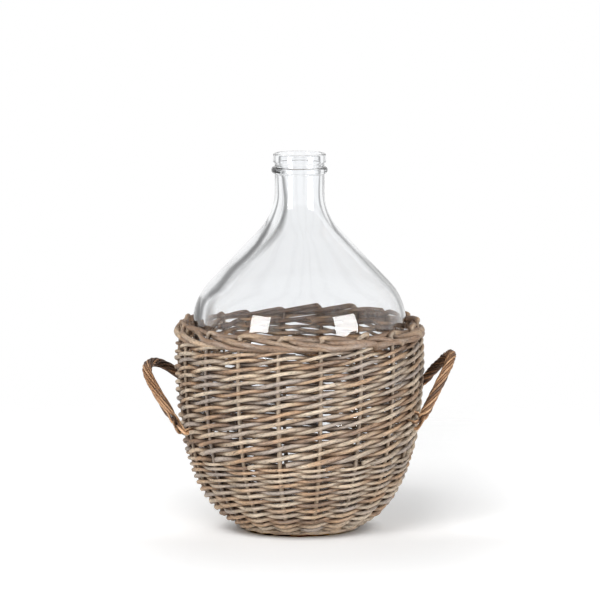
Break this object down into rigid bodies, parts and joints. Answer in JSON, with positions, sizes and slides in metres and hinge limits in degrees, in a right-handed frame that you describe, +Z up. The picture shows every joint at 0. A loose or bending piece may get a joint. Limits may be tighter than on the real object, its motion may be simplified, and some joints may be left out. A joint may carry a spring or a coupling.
{
  "type": "wicker-covered glass jar",
  "caption": "Clear glass demijohn with a conical shoulder, standing loose in a round woven wicker basket with two rope-twist handles.",
  "frame": {"origin": "on the floor under the middle of the basket", "axes": "+Z up along the jar's axis, -Y to the front of the picture, handles near -X and +X"},
  "size_m": [0.3926, 0.3082, 0.471],
  "materials": {
    "clear_glass": "clear, polished",
    "stake_wicker": "weathered grey-brown willow",
    "siding_wicker": "weathered grey-brown willow",
    "base_wicker": "weathered brown willow",
    "handle_wicker": "tan-brown twisted willow"
  },
  "bodies": {
    "basket": {"base_stick_01": "base_wicker", "base_stick_02": "base_wicker", "base_stick_03": "base_wicker", "base_stick_04": "base_wicker", "base_stick_05": "base_wicker", "base_stick_06": "base_wicker", "base_stick_07": "base_wicker", "base_stick_08": "base_wicker", "base_stick_09": "base_wicker", "base_weaver_01": "base_wicker", "base_weaver_02": "base_wicker", "foot_ring": "base_wicker", "left_handle_strand_1": "handle_wicker", "left_handle_strand_2": "handle_wicker", "left_handle_strand_3": "handle_wicker", "lower_siding_rod_01": "siding_wicker", "lower_siding_rod_02": "siding_wicker", "right_handle_strand_1": "handle_wicker", "right_handle_strand_2": "handle_wicker", "right_handle_strand_3": "handle_wicker", "stake_01": "stake_wicker", "stake_02": "stake_wicker", "stake_03": "stake_wicker", "stake_04": "stake_wicker", "stake_05": "stake_wicker", "stake_06": "stake_wicker", "stake_07": "stake_wicker", "stake_08": "stake_wicker", "stake_09": "stake_wicker", "stake_10": "stake_wicker", "stake_11": "stake_wicker", "stake_12": "stake_wicker", "stake_13": "stake_wicker", "stake_14": "stake_wicker", "stake_15": "stake_wicker", "stake_16": "stake_wicker", "stake_17": "stake_wicker", "stake_18": "stake_wicker", "upper_siding_rod_01": "siding_wicker", "upper_siding_rod_02": "siding_wicker", "upper_siding_rod_03": "siding_wicker", "upper_siding_rod_04": "siding_wicker", "upper_siding_rod_05": "siding_wicker", "upper_siding_rod_06": "siding_wicker", "upper_siding_rod_07": "siding_wicker", "upper_siding_rod_08": "siding_wicker", "upper_siding_rod_09": "siding_wicker", "upper_siding_rod_10": "siding_wicker", "upper_siding_rod_11": "siding_wicker", "upper_siding_rod_12": "siding_wicker", "upper_siding_rod_13": "siding_wicker", "upper_siding_rod_14": "siding_wicker", "upper_siding_rod_15": "siding_wicker", "upper_siding_rod_16": "siding_wicker", "upper_siding_rod_17": "siding_wicker", "upper_siding_rod_18": "siding_wicker"},
    "jar": {"glass_jar": "clear_glass"}
  },
  "joints": [
    {"name": "jar_lift", "type": "slide", "parent": "basket", "child": "jar", "axis": [0, 0, 1], "range_m": [0, 0.25]}
  ]
}
